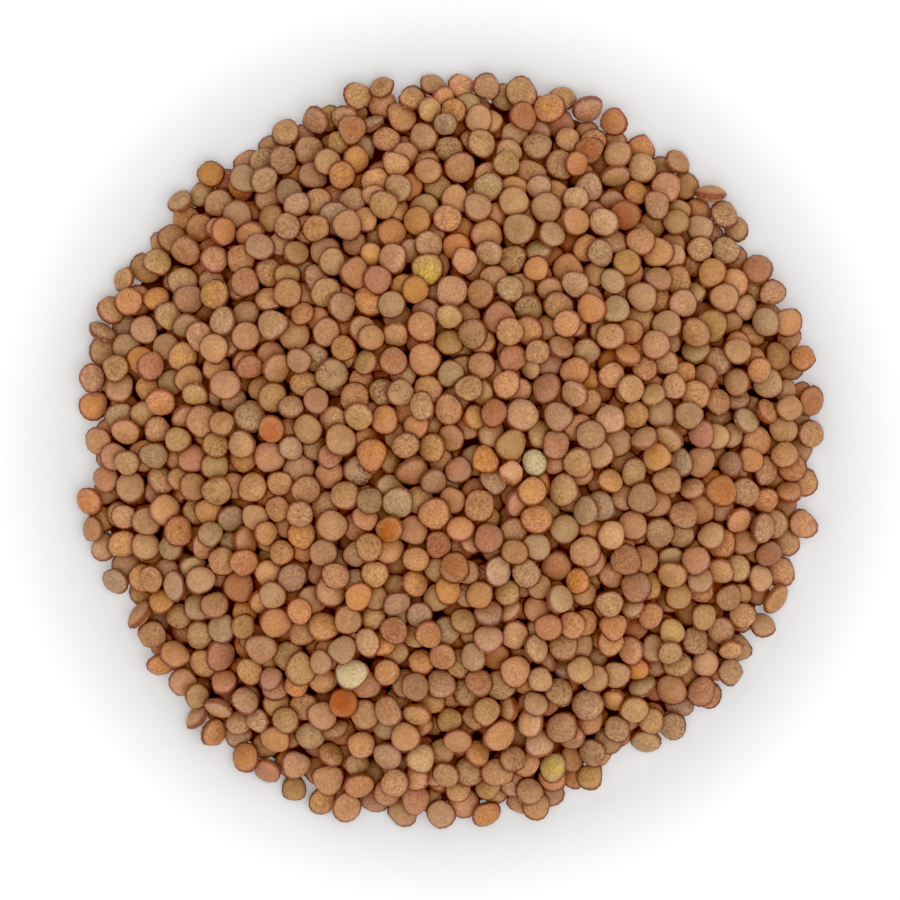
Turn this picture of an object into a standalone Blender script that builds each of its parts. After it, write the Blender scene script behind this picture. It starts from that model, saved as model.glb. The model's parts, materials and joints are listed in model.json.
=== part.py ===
"""A low heap of dry brown lentils, as it lies after being poured on a table.

Every lentil is a small flattened ellipsoid. They are poured one by one on a height field: first a foot
row that rolled out flat along the heap's edge, then the rest, each dropped where the heap is still short
and moved about until its middle lies as low as it can. Those along the edge and those that show most on
top are then fused, at true size and with few sides, to a core that stands for what lies beneath them.

Metres, +Z up. The origin is the middle of the heap's footprint, on the table.
"""

import math

import bmesh
import bpy
import numpy as np
from mathutils import Matrix, geometry

MM = 0.001

# Lentil: radius across its face, how much that varies, and its half thickness as a share of the radius
LENTIL_RADIUS = 2.4 * MM
RADIUS_SPREAD = 0.15 * MM
SPREAD_LIMIT = 2.4
NARROWEST_SHARE = 0.9
FLATNESS = 0.52
FLATNESS_SPREAD = 0.04
FLATNESS_RANGE = (0.44, 0.62)

# Heap: mean radius of its outline, height, and the outline's waves: (count, size in mm, phase in degrees)
HEAP_RADIUS = 61.1 * MM
HEAP_HEIGHT = 16.0 * MM
OUTLINE_WAVES = (
    (1, 0.43, -130),
    (2, 0.54, -126),
    (3, 0.42, -53),
    (4, 0.62, 68),
    (8, 0.30, -79),
    (12, 0.43, -154),
)
LAYER = 2 * LENTIL_RADIUS * FLATNESS
SINGLE_LAYER_WIDTH = 1.2 * MM
DOME_POWER = 2.6

# Foot row: how far a lentil may lie inside the outline, how often and how wide a gap is left beside it, the
# least step along the outline, and the tilt of the flat-lying lentils
FOOT_UNEVENNESS = 3.8 * MM
FOOT_GAP_SHARE = 0.15
FOOT_GAP = 1.0 * MM
LEAST_FOOT_STEP = 3.0 * MM
FOOT_TILT = 0.03

# Pouring: the height field's cell and its half width as a share of the heap's radius, the depth that is poured
# over what lies beneath, how many places are compared for each lentil, how short of its goal a place has to
# be, how far over it a lentil may stand, and how many tries in a row may fail
CELL = 0.3 * MM
FIELD_REACH = 1.15
POURED_DEPTH = 6.5 * MM
POUR_SEED = 7
SPOTS_COMPARED = 50
LEAST_SHORTFALL = 1.4 * MM
MOST_OVERSHOOT = 1.2 * MM
MISSES_TO_STOP = 400
# Settling: a lentil's tilt as it lands in radians, the rounds and tries to find a lower place, the first step
# as a share of its radius, the first turn, how both shrink, and the least drop that counts
LANDING_TILT = 0.20
SETTLE_ROUNDS = 12
SETTLE_TRIES = 10
SETTLE_STEP = 0.5
SETTLE_TURN = 0.18
SETTLE_SHRINK = 0.6
LEAST_DROP = 0.01 * MM
# Height given to a place outside the outline, so that no lentil settles there
OUTSIDE = 1.0

# Fused lentils: the edge row lies in a band along the outline, at a spacing. The others start from a wide
# spacing, which shrinks round by round until there are enough of them
EDGE_BAND = 4.6 * MM
EDGE_SPACING = 3.8 * MM
FUSED_COUNT = 372
WIDEST_SPACING = 9.0 * MM
SPACING_SHRINK = 0.96
# How low and how high a fused lentil's middle may lie over the core's top, and its gap to the table
STAND_RANGE = (-0.1 * MM, 0.9 * MM)
TABLE_GAP = 0.05 * MM
# A fused lentil's ten widest corners lie on this share of its ball's radius, and stand a little outside the
# lentil's round edge, because the straight sides between them lie inside it
CORNER_SHARE = 0.894
CORNER_REACH = 1.05
# Share of the union's faces that are left once its slivers are merged
KEPT_FACES = 0.68

# Core: the spacing of its points, the half width of the square that each one's height is the mean of, how far
# it lies under that mean, and its edge
CORE_SPACING = 9.0 * MM
CORE_AVERAGE = 4.5 * MM
CORE_SINK = 1.0 * MM
CORE_EDGE_INSET = 0.9 * MM
CORE_EDGE_HEIGHT = 1.3 * MM

# Seed coat: linear red, green and blue
SKIN_COLOUR = (0.42, 0.21, 0.09, 1.0)
SKIN_ROUGHNESS = 0.5


def outline(angle):
    """Distance from the heap's middle to its edge, at an angle from +X."""
    waves = (size * MM * np.cos(count * angle + math.radians(phase)) for count, size, phase in OUTLINE_WAVES)
    return HEAP_RADIUS + sum(waves)


def heap_top(x, y):
    """Height that the heap is filled to: one layer along the edge, then a low dome."""
    edge = outline(np.arctan2(y, x))
    away = np.hypot(x, y)
    rise = np.clip(1 - (away / (edge - SINGLE_LAYER_WIDTH)) ** DOME_POWER, 0, 1)
    return np.where(away < edge, LAYER + (HEAP_HEIGHT - LAYER) * rise, 0)


def frames_about(axes, along):
    """Right-handed frames, as matrices, whose third axis is each of axes."""
    up = axes / np.linalg.norm(axes, axis=1, keepdims=True)
    side = along - (along * up).sum(axis=1, keepdims=True) * up
    side /= np.linalg.norm(side, axis=1, keepdims=True)
    return np.stack([side, np.cross(up, side), up], axis=2)


class Heap:
    """A height field over the table, and the lentils laid on it so far."""

    def __init__(self):
        self.half = int(math.ceil(FIELD_REACH * HEAP_RADIUS / CELL))
        line = np.arange(-self.half, self.half + 1) * CELL
        self.goal = heap_top(*np.meshgrid(line, line))
        self.height = np.maximum(self.goal - POURED_DEPTH, 0)
        self.owner = np.full(self.height.shape, -1)
        reach = int(math.ceil((LENTIL_RADIUS + SPREAD_LIMIT * RADIUS_SPREAD) / CELL))
        self.window = np.arange(-reach, reach + 1)
        self.lentils = []

    def cell_of(self, x, y):
        """Row and column of the cell at each place."""
        return np.rint(y / CELL).astype(int) + self.half, np.rint(x / CELL).astype(int) + self.half

    def shells(self, x, y, frames, sizes):
        """The cells near each lentil, which of them it covers, and its middle and half height there."""
        row, col = self.cell_of(x, y)
        rows, cols = row[:, None] + self.window, col[:, None] + self.window
        dx = ((cols - self.half) * CELL - x[:, None])[:, None, :]
        dy = ((rows - self.half) * CELL - y[:, None])[:, :, None]
        form = (frames * sizes**-2.0) @ frames.transpose(0, 2, 1)
        form = (form / form[:, 2:, 2:])[:, :, :, None, None]
        scale = ((frames[:, 2, :] / sizes) ** 2).sum(axis=1)[:, None, None]
        lean = form[:, 0, 2] * dx + form[:, 1, 2] * dy
        level = form[:, 0, 0] * dx * dx + 2 * form[:, 0, 1] * dx * dy + form[:, 1, 1] * dy * dy - 1 / scale
        square = lean * lean - level
        return rows, cols, square > 0, -lean, np.sqrt(np.maximum(square, 0))

    def rest_heights(self, x, y, frames, sizes):
        """Height of each lentil's middle when it is let down on the heap at that place and tilt."""
        rows, cols, covered, middle, half = self.shells(x, y, frames, sizes)
        below = self.height[rows[:, :, None], cols[:, None, :]]
        return np.where(covered, below - middle + half, 0).max(axis=(1, 2))

    def lay(self, place, frame, sizes):
        """Adds a lentil at its resting place and raises the height field to its upper side."""
        x, y, z = place
        rows, cols, covered, middle, half = self.shells(np.array([x]), np.array([y]), frame[None], sizes)
        cells = np.ix_(rows[0], cols[0])
        top = np.where(covered[0], z + middle[0] + half[0], 0)
        above = top > self.height[cells]
        self.height[cells] = np.where(above, top, self.height[cells])
        self.owner[cells] = np.where(above, len(self.lentils), self.owner[cells])
        self.lentils.append((np.array(place), frame, sizes))


def lentil_size(draw):
    """The three half sizes of one lentil: across, across, thick."""
    radius = LENTIL_RADIUS + RADIUS_SPREAD * np.clip(draw.normal(), -SPREAD_LIMIT, SPREAD_LIMIT)
    narrow = draw.uniform(NARROWEST_SHARE, 1.0)
    flatness = np.clip(draw.normal(FLATNESS, FLATNESS_SPREAD), *FLATNESS_RANGE)
    return radius * np.array([1.0, narrow, flatness])


def settle(heap, draw, x, y, sizes, tilt, rounds):
    """Lets a lentil down at a place, then moves and turns it while its middle sinks."""
    azimuth = draw.uniform(0, 2 * math.pi)
    flat = math.sin(tilt)
    axis = np.array([[flat * math.cos(azimuth), flat * math.sin(azimuth), math.cos(tilt)]])
    frame = frames_about(axis, draw.normal(size=(1, 3)))[0]
    z = heap.rest_heights(np.array([x]), np.array([y]), frame[None], sizes)[0]
    step, turn = SETTLE_STEP * sizes[0], SETTLE_TURN
    for _ in range(rounds):
        moves = draw.normal(size=(SETTLE_TRIES, 5))
        xs, ys = x + step * moves[:, 0], y + step * moves[:, 1]
        axes = frame[:, 2] + turn * moves[:, 2:]
        frames = frames_about(axes, np.broadcast_to(frame[:, 0], axes.shape))
        zs = heap.rest_heights(xs, ys, frames, sizes)
        zs[np.hypot(xs, ys) > outline(np.arctan2(ys, xs)) - sizes[0]] = OUTSIDE
        best = zs.argmin()
        if zs[best] < z - LEAST_DROP:
            x, y, z, frame = xs[best], ys[best], zs[best], frames[best]
        else:
            step, turn = SETTLE_SHRINK * step, SETTLE_SHRINK * turn
    return (x, y, z), frame


def lay_foot_row(heap, draw):
    """Lentils that rolled out and lie flat along the outline, close together and unevenly far out."""
    angle, out_before, radius_before = 0.0, HEAP_RADIUS, 0.0
    while True:
        sizes = lentil_size(draw)
        out = outline(angle) - sizes[0] - FOOT_UNEVENNESS * math.sqrt(draw.uniform())
        gap = draw.uniform(0, FOOT_GAP) if draw.uniform() < FOOT_GAP_SHARE else CELL / 4
        apart = radius_before + sizes[0] + gap
        along = math.sqrt(max(apart**2 - (out - out_before) ** 2, LEAST_FOOT_STEP**2))
        angle += along / out if heap.lentils else 0.0
        if angle > 2 * math.pi - 2 * sizes[0] / out:
            break
        x, y = out * math.cos(angle), out * math.sin(angle)
        heap.lay(*settle(heap, draw, x, y, sizes, FOOT_TILT, 0), sizes)
        out_before, radius_before = out, sizes[0]


def pour():
    """The whole heap, filled with lentils until no place is short of its goal height."""
    draw = np.random.default_rng(POUR_SEED)
    heap = Heap()
    lay_foot_row(heap, draw)
    misses = 0
    while misses < MISSES_TO_STOP:
        angles = draw.uniform(0, 2 * math.pi, SPOTS_COMPARED)
        away = (outline(angles) - LENTIL_RADIUS) * np.sqrt(draw.uniform(0, 1, SPOTS_COMPARED))
        xs, ys = away * np.cos(angles), away * np.sin(angles)
        cells = heap.cell_of(xs, ys)
        shortfall = heap.goal[cells] - heap.height[cells]
        best = shortfall.argmax()
        if shortfall[best] < LEAST_SHORTFALL:
            misses += 1
            continue
        sizes = lentil_size(draw)
        tilt = abs(draw.normal(0, LANDING_TILT))
        place, frame = settle(heap, draw, xs[best], ys[best], sizes, tilt, SETTLE_ROUNDS)
        if place[2] + sizes[2] > heap_top(*place[:2]) + MOST_OVERSHOOT:
            misses += 1
            continue
        heap.lay(place, frame, sizes)
    return heap


def edge_row(heap):
    """Numbers of the lentils on the table that show along the outline, in turn round the heap."""
    places = np.array([place for place, _, _ in heap.lentils])
    radii = np.array([sizes[0] for _, _, sizes in heap.lentils])
    angles = np.arctan2(places[:, 1], places[:, 0])
    inset = outline(angles) - np.hypot(places[:, 0], places[:, 1]) - radii
    inset[places[:, 2] > LAYER] = HEAP_RADIUS
    row = []
    for number in np.argsort(inset, kind="stable"):
        apart = np.hypot(*(places[row, :2] - places[number, :2]).T)
        if inset[number] < EDGE_BAND and (apart > EDGE_SPACING).all():
            row.append(int(number))
    return sorted(row, key=lambda number: angles[number])


def most_seen(heap, edge):
    """Numbers of the lentils to fuse: the edge row, then those that show most, in ever closer rounds."""
    seen = np.bincount(heap.owner[heap.owner >= 0], minlength=len(heap.lentils))
    flat = np.array([place[:2] for place, _, _ in heap.lentils])
    chosen = list(edge)
    nearest = np.min([np.hypot(*(flat - flat[number]).T) for number in chosen], axis=0)
    spacing = WIDEST_SPACING
    while len(chosen) < FUSED_COUNT:
        for number in np.argsort(-seen, kind="stable"):
            if nearest[number] > spacing and len(chosen) < FUSED_COUNT:
                chosen.append(int(number))
                nearest = np.minimum(nearest, np.hypot(*(flat - flat[number]).T))
        spacing *= SPACING_SHRINK
    return chosen


def core_height(heap, x, y):
    """Height of the core's top: a little under the mean height of the lentils around a place."""
    row, col = heap.cell_of(np.float64(x), np.float64(y))
    reach = int(CORE_AVERAGE / CELL)
    around = heap.height[row - reach : row + reach + 1, col - reach : col + reach + 1]
    return float(around[around > 0].mean()) - CORE_SINK


def core_points(heap, edge):
    """The core's edge points, just inside the edge row's middles, and its points on a triangular grid."""
    outer = []
    for place in (heap.lentils[number][0] for number in edge):
        inset = 1 - CORE_EDGE_INSET / math.hypot(*place[:2])
        outer.append((place[0] * inset, place[1] * inset, CORE_EDGE_HEIGHT))
    inner = []
    row_step = CORE_SPACING * math.sqrt(3) / 2
    rows = int(HEAP_RADIUS / row_step)
    for row in range(-rows, rows + 1):
        for col in range(-rows - 1, rows + 2):
            x, y = (col + 0.5 * (row % 2)) * CORE_SPACING, row * row_step
            if math.hypot(x, y) < outline(math.atan2(y, x)) - CORE_SPACING:
                inner.append((x, y, core_height(heap, x, y)))
    return outer, inner


def make_core(heap, edge):
    """The closed core: a faceted mound over the edge row's polygon, with a flat base on the table."""
    outer, inner = core_points(heap, edge)
    points = outer + inner
    flat = [(x, y) for x, y, _ in points]
    boundary = [tuple(range(len(outer)))]
    places, _, faces, origins, _, _ = geometry.delaunay_2d_cdt(flat, [], boundary, 1, CELL / 100)
    mesh = bmesh.new()
    tops = [mesh.verts.new((*place, points[origin[0]][2])) for place, origin in zip(places, origins)]
    for face in faces:
        mesh.faces.new([tops[corner] for corner in face])
    rim = [e for e in mesh.edges if e.is_boundary]
    walls = bmesh.ops.extrude_edge_only(mesh, edges=rim)["geom"]
    for vertex in (g for g in walls if isinstance(g, bmesh.types.BMVert)):
        vertex.co.z = 0.0
    bmesh.ops.holes_fill(mesh, edges=[e for e in mesh.edges if e.is_boundary])
    bmesh.ops.recalc_face_normals(mesh, faces=mesh.faces)
    return mesh


def height_on(surface, x, y):
    """Height of the core's top at a place, by a ray from above."""
    hit, place, _, _ = surface.ray_cast((x, y, 2 * HEAP_HEIGHT), (0, 0, -1))
    return place.z if hit else 0.0


def make_lentil(place, frame, sizes, stand_on):
    """One fused lentil: a flattened twenty-sided ball that stands on the core and clear of the table."""
    low, high = STAND_RANGE
    z = min(max(place[2], stand_on + low), stand_on + high)
    turned = Matrix(frame.tolist()).to_4x4()
    wider = CORNER_REACH / CORNER_SHARE
    stretch = Matrix.Diagonal((wider * sizes[0], wider * sizes[1], sizes[2], 1))
    mesh = bmesh.new()
    matrix = Matrix.Translation((place[0], place[1], z)) @ turned @ stretch
    bmesh.ops.create_icosphere(mesh, subdivisions=1, radius=1.0, matrix=matrix)
    lift = max(TABLE_GAP - min(v.co.z for v in mesh.verts), 0)
    bmesh.ops.translate(mesh, verts=mesh.verts, vec=(0, 0, lift))
    return mesh


def to_object(name, mesh, collection):
    """Turns a bmesh into a named object in a collection."""
    data = bpy.data.meshes.new(name)
    mesh.to_mesh(data)
    mesh.free()
    made = bpy.data.objects.new(name, data)
    collection.objects.link(made)
    return made


def keep_largest_shell(data):
    """Deletes every closed shell but the largest: sealed hollows are filled and loose scraps dropped."""
    mesh = bmesh.new()
    mesh.from_mesh(data)
    left = set(mesh.verts)
    shells = []
    while left:
        shell, edge = set(), [next(iter(left))]
        while edge:
            vertex = edge.pop()
            if vertex in shell:
                continue
            shell.add(vertex)
            edge.extend(e.other_vert(vertex) for e in vertex.link_edges)
        left -= shell
        shells.append(shell)
    shells.sort(key=len)
    for shell in shells[:-1]:
        bmesh.ops.delete(mesh, geom=list(shell), context="VERTS")
    mesh.to_mesh(data)
    mesh.free()


def apply_modifier(made, modifier):
    """Replaces an object's mesh by what its one modifier makes of it."""
    graph = bpy.context.evaluated_depsgraph_get()
    changed = bpy.data.meshes.new_from_object(made.evaluated_get(graph))
    made.modifiers.remove(modifier)
    made.data = changed


def fuse(core, lentils):
    """Joins the lentils to the core by one Boolean union, applied, and removes them."""
    union = core.modifiers.new("fuse", "BOOLEAN")
    union.operation = "UNION"
    union.operand_type = "COLLECTION"
    union.collection = lentils
    union.solver = "MANIFOLD"
    apply_modifier(core, union)
    for lentil in list(lentils.objects):
        bpy.data.objects.remove(lentil)
    bpy.data.collections.remove(lentils)


def thin_out(heap):
    """Merges the sliver faces that the union leaves, down to a share of its faces, and applies it."""
    thinning = heap.modifiers.new("thin out", "DECIMATE")
    thinning.ratio = KEPT_FACES
    apply_modifier(heap, thinning)


def footprint_middle(heap):
    """Middle of the poured heap's footprint, from its lentils' places and radii."""
    places = np.array([place[:2] for place, _, _ in heap.lentils])
    radii = np.array([[sizes[0]] for _, _, sizes in heap.lentils])
    return ((places - radii).min(axis=0) + (places + radii).max(axis=0)) / 2


def skin_material():
    """Dry seed coat: warm tan brown with a soft satin sheen."""
    material = bpy.data.materials.new("lentil_skin")
    material.use_nodes = True
    skin = material.node_tree.nodes["Principled BSDF"]
    skin.inputs["Base Color"].default_value = SKIN_COLOUR
    skin.inputs["Roughness"].default_value = SKIN_ROUGHNESS
    skin.inputs["Metallic"].default_value = 0.0
    return material


def main():
    for old in list(bpy.data.objects):
        bpy.data.objects.remove(old)
    heap = pour()
    edge = edge_row(heap)
    scene = bpy.context.scene.collection
    core = to_object("lentil_heap", make_core(heap, edge), scene)
    graph = bpy.context.evaluated_depsgraph_get()
    surface = core.evaluated_get(graph)
    lentils = bpy.data.collections.new("fused_lentils")
    scene.children.link(lentils)
    for number in most_seen(heap, edge):
        place, frame, sizes = heap.lentils[number]
        stand_on = height_on(surface, place[0], place[1])
        to_object(f"lentil_{number:04d}", make_lentil(place, frame, sizes, stand_on), lentils)
    fuse(core, lentils)
    keep_largest_shell(core.data)
    thin_out(core)
    middle = footprint_middle(heap)
    core.data.transform(Matrix.Translation((-middle[0], -middle[1], 0)))
    core.data.materials.clear()
    core.data.materials.append(skin_material())
    core.data.shade_flat()


main()
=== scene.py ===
"""Looks of a low heap of dry brown lentils, as it lies after being poured on a table.

The heap is poured again by the rule that gave the solid its form, so the lentils lie where the solid's do.
Each kind of seed coat is one piece: a joined mesh of lens-shaped seeds at true size, with its own material.
"""

import functools
import json
import math
from collections import namedtuple

import bmesh
import bpy
import numpy as np
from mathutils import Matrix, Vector

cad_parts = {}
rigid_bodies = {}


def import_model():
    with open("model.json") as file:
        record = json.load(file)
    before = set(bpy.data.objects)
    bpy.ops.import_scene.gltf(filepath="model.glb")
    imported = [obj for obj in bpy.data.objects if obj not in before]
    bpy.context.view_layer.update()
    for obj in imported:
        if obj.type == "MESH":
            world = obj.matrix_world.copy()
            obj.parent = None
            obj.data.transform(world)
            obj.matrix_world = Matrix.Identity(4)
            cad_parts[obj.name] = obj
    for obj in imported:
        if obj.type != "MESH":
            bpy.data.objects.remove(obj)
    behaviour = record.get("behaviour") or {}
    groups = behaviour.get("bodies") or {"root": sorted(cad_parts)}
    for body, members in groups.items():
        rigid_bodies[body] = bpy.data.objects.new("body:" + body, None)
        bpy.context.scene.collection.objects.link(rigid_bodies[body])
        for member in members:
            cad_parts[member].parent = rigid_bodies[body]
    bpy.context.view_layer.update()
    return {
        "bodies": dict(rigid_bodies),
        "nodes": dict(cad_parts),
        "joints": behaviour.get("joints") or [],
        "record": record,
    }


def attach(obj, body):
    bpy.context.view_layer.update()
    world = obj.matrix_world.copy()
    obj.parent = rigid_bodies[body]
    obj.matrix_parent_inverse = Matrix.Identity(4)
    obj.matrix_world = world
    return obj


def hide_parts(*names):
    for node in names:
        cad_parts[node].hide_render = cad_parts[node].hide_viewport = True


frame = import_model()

bl_info = {
    "name": "Heap of dry lentils",
    "version": (1, 0, 0),
    "blender": (4, 5, 0),
    "location": "View3D > Sidebar > Lentils",
    "description": "Pours a low heap of dry brown lentils and gives each kind of seed coat its look",
    "category": "Add Mesh",
}

MM = 0.001
HEAP_NODE = "lentil_heap"


def linear(code):
    """Linear red, green and blue of an sRGB hex colour."""
    parts = (int(code[i : i + 2], 16) / 255 for i in (1, 3, 5))
    return tuple(c / 12.92 if c <= 0.04045 else ((c + 0.055) / 1.055) ** 2.4 for c in parts)


# The pour repeats the solid's own values

# Lentil: how much its radius varies, how narrow it may be, and its half thickness as a share of the radius
SPREAD_LIMIT = 2.4
NARROWEST_SHARE = 0.9
FLATNESS_SPREAD = 0.04
FLATNESS_RANGE = (0.44, 0.62)

# The outline's waves: (count, size in mm, phase in degrees)
OUTLINE_WAVES = (
    (1, 0.43, -130),
    (2, 0.54, -126),
    (3, 0.42, -53),
    (4, 0.62, 68),
    (8, 0.30, -79),
    (12, 0.43, -154),
)
SINGLE_LAYER_WIDTH = 1.2 * MM
DOME_POWER = 2.6

# The height field's cell, and its half width as a share of the heap's radius
CELL = 0.3 * MM
FIELD_REACH = 1.15

# Foot row: how far a lentil may lie inside the outline, how often and how wide a gap is left beside it, the
# least gap, the least step along the outline, and the tilt of the flat-lying lentils in radians
FOOT_UNEVENNESS = 3.8 * MM
FOOT_GAP_SHARE = 0.15
FOOT_GAP = 1.0 * MM
LEAST_FOOT_GAP = CELL / 4
LEAST_FOOT_STEP = 3.0 * MM
FOOT_TILT = 0.03

# Pouring: the depth poured over what lies beneath, how many places are compared for each lentil, how short of
# its goal a place has to be, how far over it a lentil may stand, and how many tries may fail
POURED_DEPTH = 6.5 * MM
SPOTS_COMPARED = 50
LEAST_SHORTFALL = 1.4 * MM
MOST_OVERSHOOT = 1.2 * MM
MISSES_TO_STOP = 400

# Settling: a lentil's tilt as it lands in radians, the rounds and tries to find a lower place, the first step
# as a share of its radius, the first turn, how both shrink, and the least drop that counts
LANDING_TILT = 0.20
SETTLE_ROUNDS = 12
SETTLE_TRIES = 10
SETTLE_STEP = 0.5
SETTLE_TURN = 0.18
SETTLE_SHRINK = 0.6
LEAST_DROP = 0.01 * MM
# Height given to a place outside the outline, so that no lentil settles there
OUTSIDE = 1.0

# Form of one lentil: the sides and rings of its ball, the rounding that tells the points on its rim, and the
# power of its lens profile, between a parabola's sharp rim at 1 and an ellipse's round one at 0.5
SEED_SIDES = 14
SEED_RINGS = 6
RIM_DECIMALS = 5
LENS_POWER = 0.70
# Unevenness of each lentil: its outline's waves of three, four and five, the lean and swell of its two faces,
# how far inside its rim it may be pressed flat by its neighbour in the pod and how round that leaves the
# corners, what is given back to its width for that, and the dents in its faces
OUTLINE_UNEVENNESS = (0.030, 0.014, 0.004)
FACE_LEAN = 0.10
FACE_SWELL = 0.08
PRESSED_SIDES = 3
PRESSED_RANGE = (0.87, 1.05)
PRESSED_ROUNDNESS = 0.08
FULLNESS = 1.08
DENT_RANGE = (-0.10, 0.24)
DENT_REACH = 0.45
DENT_WIDTH = 0.40
# Shrivelled and hulled lentils are few, so their ball is finer. Folds: how many, their height, how far, how
# often and how slantwise they wander, where they would die out beyond the rim, and how far they push it out.
# Facets: how many, and their least and greatest distance from the middle
FINE_SIDES = 44
FINE_RINGS = 22
FOLD_COUNTS = (8, 14)
FOLD_HEIGHT = 0.075
FOLD_WANDER = 0.8
FOLD_BENDS = 3
FOLD_SLANT = 4
FOLD_END = 1.3
FOLD_PUSH = 0.4
FACETS = 11
FACET_RANGE = (0.66, 0.90)
# Gap under the heap, so that no lentil touches the table, and the height that no lentil passes
TABLE_GAP = 0.05 * MM
HIGHEST = 16.95 * MM
# How far a lentil's pattern may be shifted in mm, so that no two look alike
PATTERN_SHIFT = 400.0
# Each lentil's own hue in turns about 0.5, and its saturation and value about 1: their means and spreads
TINT_MEANS = (0.5, 0.99, 0.99)
TINT_SPREADS = (0.0034, 0.036, 0.085)
# Cells to each side over which the heap's surface is smoothed, to tell how deep below it a place lies
COVER_CELLS = 9


def colour(name, description, code):
    """A colour property whose default is an sRGB hex code."""
    return bpy.props.FloatVectorProperty(
        name=name, description=description, default=linear(code), min=0.0, max=1.0, subtype="COLOR",
    )


class LentilCoatColours(bpy.types.PropertyGroup):
    """Colours of the seed coats, of the marks on them, of the heap's core and of the board."""

    tan_light: colour("Tan, light", "Middle of the lightest tan lentils", "#BD8C5E")
    tan_dark: colour("Tan, dark", "Middle of the darkest tan lentils", "#A26F45")
    tan_flank: colour("Tan, flank", "Flanks of the tan lentils", "#B9835E")
    olive_light: colour("Olive, light", "Middle of the lightest olive lentils", "#B88E5C")
    olive_dark: colour("Olive, dark", "Middle of the darkest olive lentils", "#9D7243")
    olive_flank: colour("Olive, flank", "Flanks of the olive lentils", "#B4865E")
    orange_light: colour("Orange, light", "Middle of the lightest orange lentils", "#C38850")
    orange_dark: colour("Orange, dark", "Middle of the darkest orange lentils", "#AF7443")
    orange_flank: colour("Orange, flank", "Flanks of the orange lentils", "#BE825B")
    rose_light: colour("Rose, light", "Middle of the lightest rose-brown lentils", "#B3754D")
    rose_dark: colour("Rose, dark", "Middle of the darkest rose-brown lentils", "#A06640")
    rose_flank: colour("Rose, flank", "Flanks of the rose-brown lentils", "#B07C5A")
    dun_light: colour("Dun, light", "Middle of the lightest grey-brown lentils", "#B18A61")
    dun_dark: colour("Dun, dark", "Middle of the darkest grey-brown lentils", "#9D7650")
    dun_flank: colour("Dun, flank", "Flanks of the grey-brown lentils", "#B08862")
    brick_light: colour("Brick, light", "Middle of the lightest brick-red lentils", "#AC6131")
    brick_dark: colour("Brick, dark", "Middle of the darkest brick-red lentils", "#985026")
    brick_flank: colour("Brick, flank", "Flanks of the brick-red lentils", "#AC774E")
    speckled_light: colour("Speckled, light", "Ground of the lightest speckled lentils", "#BA9065")
    speckled_dark: colour("Speckled, dark", "Ground of the darkest speckled lentils", "#A4784C")
    speckled_flank: colour("Speckled, flank", "Flanks of the speckled lentils", "#B4875D")
    shrivelled_light: colour("Shrivelled, light", "Crests of the lightest shrivelled lentils", "#BA9066")
    shrivelled_dark: colour("Shrivelled, dark", "Crests of the darkest shrivelled lentils", "#A4774F")
    shrivelled_flank: colour("Shrivelled, flank", "Flanks of the shrivelled lentils", "#B78D6C")
    pale_light: colour("Pale, light", "Middle of the unripe, pale green lentils", "#CBB586")
    pale_dark: colour("Pale, dark", "Darker parts of the pale green lentils", "#B79C6C")
    pale_flank: colour("Pale, flank", "Flanks of the pale green lentils", "#C9AE85")
    yellowed_light: colour("Yellowed, light", "Bright patch on the yellowed lentils", "#D2AC45")
    yellowed_dark: colour("Yellowed, dark", "Darker parts of the patch on the yellowed lentils", "#BE9344")
    yellowed_flank: colour("Yellowed, flank", "Flanks of the yellowed lentils", "#BD8F5C")
    hulled_light: colour("Hulled, light", "Seed leaves of a lentil whose coat has come off", "#CA9163")
    hulled_dark: colour("Hulled, dark", "Darker parts of those seed leaves", "#BF8555")
    hulled_flank: colour("Hulled, flank", "Flanks of those seed leaves", "#C48962")
    hulled_edge: colour("Hulled, edge", "What the darker edge takes from those seed leaves", "#DDB09A")
    # Painted highlight: these pale streaks stand for glints of light on the hulled lentil's facets
    hulled_glint: colour("Hulled, glint", "Pale streaks where those seed leaves have dried", "#E3B98D")
    # Painted shade: the dark red-brown of the thin rim stands for the shade where lentils meet
    rim: colour("Rim", "Thin rim round every lentil", "#6A2409")
    speckle: colour("Speckle", "Dark dots and marbling", "#5E2F10")
    scar: colour("Scar", "Small pale scar where the seed hung in its pod", "#C9A67C")
    seam: colour("Seam", "Fine ridge along the rim, where the two seed leaves meet", "#B4693A")
    shade: colour("Shade", "What the shade deep in the heap takes from every coat", "#F3C3AD")
    # Painted shade: the core's two colours are darker than any coat's, for the shade deep in the heap
    core_light: colour("Core, light", "Lighter parts of what shows deep in the heap", "#8C4C2A")
    core_dark: colour("Core, dark", "Darker parts of what shows deep in the heap", "#5C2812")
    floor: colour("Floor", "Matt white board that the heap lies on", "#F5F5F5")
    floor_near: colour("Floor, near", "The same board in the soft shade close round the heap", "#E1E1E1")
    # Painted shade: the board is darker where it shows between the outer lentils
    floor_under: colour("Floor, under", "The same board where it shows between the outer lentils", "#BCBCBC")


def length(name, description, default):
    """A length property."""
    return bpy.props.FloatProperty(
        name=name, description=description, default=default, min=0.0, precision=5, unit="LENGTH",
    )


class LentilHeapSizes(bpy.types.PropertyGroup):
    """Sizes of the heap and of its lentils."""

    heap_radius: length("Heap radius", "Mean radius of the heap's uneven outline", 61.1 * MM)
    heap_height: length("Heap height", "Height of the low dome that the heap is filled to", 16.0 * MM)
    lentil_radius: length("Lentil radius", "Mean radius of a lentil across its face", 2.4 * MM)
    radius_spread: length("Radius spread", "Standard deviation of the lentils' radii", 0.15 * MM)
    flatness: bpy.props.FloatProperty(
        name="Flatness",
        description="Mean half thickness of a lentil as a share of its radius",
        default=0.52,
        min=0.1,
        max=1.0,
        subtype="FACTOR",
    )
    pour_seed: bpy.props.IntProperty(
        name="Pour seed",
        description="Seed of the pour: each one gives another heap",
        default=7,
        min=0,
    )


Sizes = namedtuple("Sizes", "heap_radius heap_height lentil_radius radius_spread flatness pour_seed")
SIZE_DECIMALS = 7


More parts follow.
